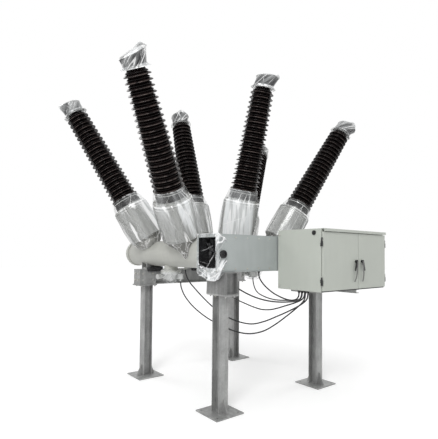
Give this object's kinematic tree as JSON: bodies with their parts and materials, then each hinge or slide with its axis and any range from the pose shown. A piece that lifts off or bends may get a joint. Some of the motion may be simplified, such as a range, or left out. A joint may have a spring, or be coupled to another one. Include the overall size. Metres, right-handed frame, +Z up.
{
  "type": "gas insulated circuit breaker",
  "caption": "Three-phase dead-tank circuit breaker: horizontal gas tanks with porcelain bushings in a V, a linkage housing and a two-door control cabinet on steel legs.",
  "frame": {"origin": "on the ground, midway between the four legs", "axes": "+X across the phases to the right of a person facing the cabinet doors, +Y along the tanks away from the cabinet, +Z up"},
  "size_m": [3.6936, 3.0707, 3.9246],
  "materials": {
    "galvanised_steel": "hot-dip galvanised, dull",
    "tank_paint": "light grey paint",
    "silver_paint": "silver grey paint",
    "brown_glaze": "dark brown glazed porcelain",
    "housing_paint": "grey paint",
    "cabinet_paint": "light grey powder coat",
    "black_fittings": "black",
    "black_plastic": "black nylon",
    "cable_sheath": "black cable sheath",
    "wrap_film": "clear wrapping film",
    "zinc_bolts": "zinc plated"
  },
  "bodies": {
    "breaker": {"leg_front_left": "galvanised_steel", "leg_front_right": "galvanised_steel", "leg_rear_left": "galvanised_steel", "leg_rear_right": "galvanised_steel", "rear_beam": "galvanised_steel", "pedestal_left": "galvanised_steel", "pedestal_right": "galvanised_steel", "tank_saddles": "galvanised_steel", "tank_left": "tank_paint", "tank_middle": "tank_paint", "tank_right": "tank_paint", "end_cover_left": "tank_paint", "end_cover_middle": "tank_paint", "end_cover_right": "tank_paint", "gas_port_left": "silver_paint", "gas_port_middle": "silver_paint", "gas_port_right": "silver_paint", "ct_near_left": "silver_paint", "ct_near_middle": "silver_paint", "ct_near_right": "silver_paint", "ct_far_left": "silver_paint", "ct_far_middle": "silver_paint", "ct_far_right": "silver_paint", "porcelain_near_left": "brown_glaze", "porcelain_near_middle": "brown_glaze", "porcelain_near_right": "brown_glaze", "porcelain_far_left": "brown_glaze", "porcelain_far_middle": "brown_glaze", "porcelain_far_right": "brown_glaze", "terminal_near_left": "silver_paint", "terminal_near_middle": "silver_paint", "terminal_near_right": "silver_paint", "terminal_far_left": "silver_paint", "terminal_far_middle": "silver_paint", "terminal_far_right": "silver_paint", "linkage_housing": "housing_paint", "linkage_crank": "black_fittings", "position_window": "black_fittings", "cabinet_shell": "cabinet_paint", "cabinet_roof": "cabinet_paint", "cabinet_hinges": "black_fittings", "vent_plug": "black_fittings", "cabinet_arms": "galvanised_steel", "cable_glands": "black_plastic", "cable_left_port": "cable_sheath", "cable_middle_port": "cable_sheath", "cable_right_port": "cable_sheath", "cable_left_tank": "cable_sheath", "cable_housing_left": "cable_sheath", "cable_housing_middle": "cable_sheath"},
    "left_door": {"left_door": "cabinet_paint"},
    "right_door": {"right_door": "cabinet_paint"},
    "left_handle": {"left_handle": "black_fittings"},
    "right_handle": {"right_handle": "black_fittings"}
  },
  "joints": [
    {"name": "left_door_hinge", "type": "hinge", "parent": "breaker", "child": "left_door", "pos_m": [-0.07, -1.598, 1.635], "axis": [0, 0, -1], "range_deg": [0, 110]},
    {"name": "right_door_hinge", "type": "hinge", "parent": "breaker", "child": "right_door", "pos_m": [1.168, -1.598, 1.635], "axis": [0, 0, 1], "range_deg": [0, 110]},
    {"name": "left_handle_turn", "type": "hinge", "parent": "left_door", "child": "left_handle", "pos_m": [0.522, -1.615, 1.621], "axis": [0, 1, 0], "range_deg": [0, 90]},
    {"name": "right_handle_turn", "type": "hinge", "parent": "right_door", "child": "right_handle", "pos_m": [0.638, -1.615, 1.621], "axis": [0, -1, 0], "range_deg": [0, 90]}
  ]
}
